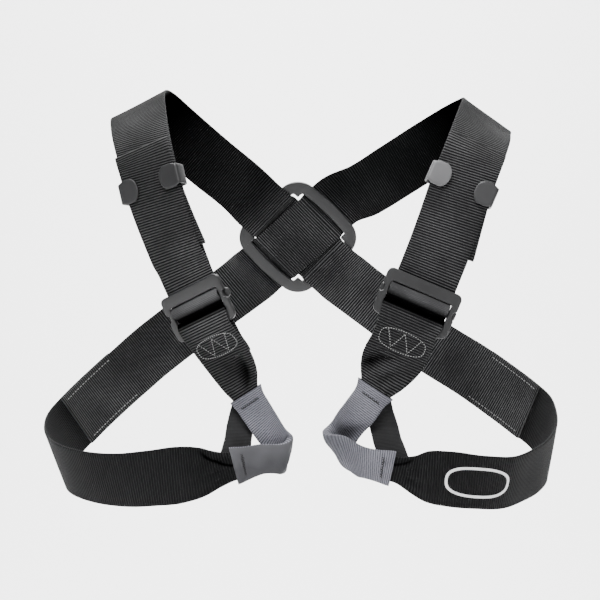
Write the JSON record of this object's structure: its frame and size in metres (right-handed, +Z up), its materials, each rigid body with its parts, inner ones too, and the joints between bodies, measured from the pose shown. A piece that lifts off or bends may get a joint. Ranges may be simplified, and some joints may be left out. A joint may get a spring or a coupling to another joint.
{
  "type": "climbing chest harness",
  "caption": "Worn-form webbing chest harness: straps cross through a flat back ring, pass over the shoulders to slide buckles, and meet chest bands that end in sleeved attachment eyes",
  "frame": {"origin": "middle of the line on which the straps lie on the wearer's shoulders", "axes": "+Z up, the wearer faces -Y, +X is on the right in the front view"},
  "size_m": [0.3963, 0.219, 0.3168],
  "materials": {
    "webbing": "ribbed webbing, matt",
    "sleeve": "finely ribbed cloth, matt",
    "metal": "dark satin coating",
    "keeper": "dull plated"
  },
  "bodies": {
    "root": {"back_ring": "metal", "left_shoulder_strap": "webbing", "right_shoulder_strap": "webbing", "left_chest_band": "webbing", "right_chest_band": "webbing", "left_link": "webbing", "right_link": "webbing", "left_sleeve": "sleeve", "right_sleeve": "sleeve", "left_buckle_frame": "metal", "right_buckle_frame": "metal", "left_buckle_slider": "metal", "right_buckle_slider": "metal", "left_keeper": "keeper", "right_keeper": "keeper"}
  },
  "joints": []
}
